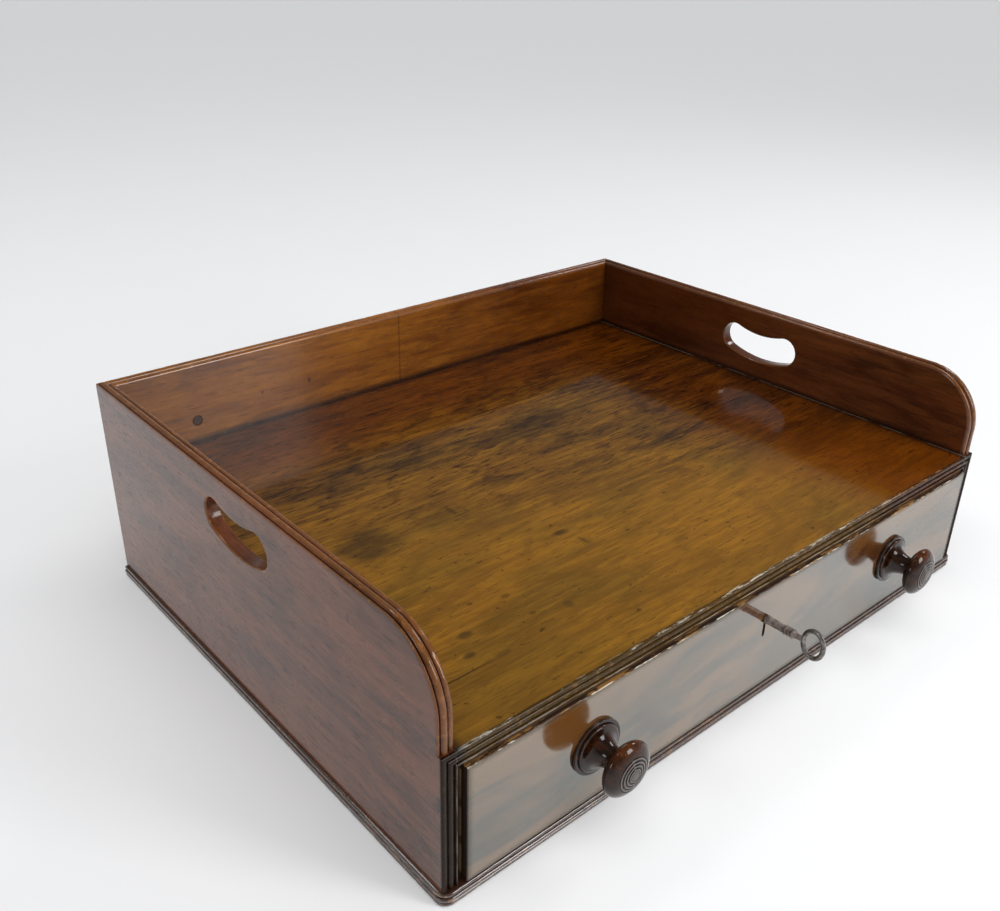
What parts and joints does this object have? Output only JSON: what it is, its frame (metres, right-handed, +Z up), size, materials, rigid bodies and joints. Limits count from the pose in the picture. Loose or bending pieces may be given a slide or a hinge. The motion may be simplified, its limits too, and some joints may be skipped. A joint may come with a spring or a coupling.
{
  "type": "book tray",
  "caption": "Low wooden box with a full-width lockable drawer under a tray with a raised three-quarter gallery, rounded front corners, reeded edges and kidney-shaped hand holes.",
  "frame": {"origin": "middle of the case on the underside of the base board, on the plane it stands on", "axes": "+X to the right as seen from the drawer side, -Y out of the drawer front, +Z up"},
  "size_m": [0.505, 0.4308, 0.1575],
  "materials": {
    "base_board": "french-polished dark mahogany, worn reeds",
    "left_side": "french-polished red-brown mahogany",
    "right_side": "french-polished red-brown mahogany",
    "back_board": "french-polished orange-brown mahogany",
    "back_plug": "dark end-grain plug",
    "tray_board": "faded golden-brown mahogany, stained and scratched",
    "drawer_stop_left": "plain sawn wood",
    "drawer_stop_right": "plain sawn wood",
    "drawer_front": "glossy french-polished mahogany",
    "drawer_side_left": "unpolished drawer lining",
    "drawer_side_right": "unpolished drawer lining",
    "drawer_back": "unpolished drawer lining",
    "drawer_bottom": "unpolished drawer lining",
    "knob_left": "very glossy dark turned mahogany",
    "knob_right": "very glossy dark turned mahogany",
    "base_screw_1": "dull iron",
    "base_screw_2": "dull iron",
    "base_screw_3": "dull iron",
    "base_screw_4": "dull iron",
    "base_screw_5": "dull iron",
    "base_screw_6": "dull iron",
    "base_screw_7": "dull iron",
    "base_screw_8": "dull iron",
    "bottom_nail_1": "dull iron",
    "bottom_nail_2": "dull iron",
    "bottom_nail_3": "dull iron",
    "lock_plate": "tarnished brass",
    "lock_case": "dull iron",
    "drill_pin": "dull iron",
    "lock_spring": "spring steel",
    "lock_screw_1": "dull iron",
    "lock_screw_2": "dull iron",
    "lock_screw_3": "dull iron",
    "lock_screw_4": "dull iron",
    "lock_bolt": "worn brass",
    "key": "old steel, brown on the shank, brighter on the bow"
  },
  "bodies": {
    "carcass": {"base_board": "base_board", "left_side": "left_side", "right_side": "right_side", "back_board": "back_board", "back_plug": "back_plug", "tray_board": "tray_board", "drawer_stop_left": "drawer_stop_left", "drawer_stop_right": "drawer_stop_right", "base_screw_1": "base_screw_1", "base_screw_2": "base_screw_2", "base_screw_3": "base_screw_3", "base_screw_4": "base_screw_4", "base_screw_5": "base_screw_5", "base_screw_6": "base_screw_6", "base_screw_7": "base_screw_7", "base_screw_8": "base_screw_8"},
    "drawer": {"drawer_front": "drawer_front", "drawer_side_left": "drawer_side_left", "drawer_side_right": "drawer_side_right", "drawer_back": "drawer_back", "drawer_bottom": "drawer_bottom", "bottom_nail_1": "bottom_nail_1", "bottom_nail_2": "bottom_nail_2", "bottom_nail_3": "bottom_nail_3", "knob_left": "knob_left", "knob_right": "knob_right", "lock_plate": "lock_plate", "lock_case": "lock_case", "drill_pin": "drill_pin", "lock_spring": "lock_spring", "lock_screw_1": "lock_screw_1", "lock_screw_2": "lock_screw_2", "lock_screw_3": "lock_screw_3", "lock_screw_4": "lock_screw_4"},
    "bolt": {"lock_bolt": "lock_bolt"},
    "key": {"key": "key"}
  },
  "joints": [
    {"name": "drawer_slide", "type": "slide", "parent": "carcass", "child": "drawer", "axis": [0, -1, 0], "range_m": [0, 0.3]},
    {"name": "key_turn", "type": "hinge", "parent": "drawer", "child": "key", "pos_m": [0, -0.195, 0.063], "axis": [0, -1, 0], "range_deg": [0, 180]},
    {"name": "bolt_throw", "type": "slide", "parent": "drawer", "child": "bolt", "axis": [0, 0, 1], "range_m": [0, 0.006]}
  ],
  "couplings": [
    {"joint": "key_turn", "follows": "bolt_throw", "rad_per_m": 523.59}
  ]
}
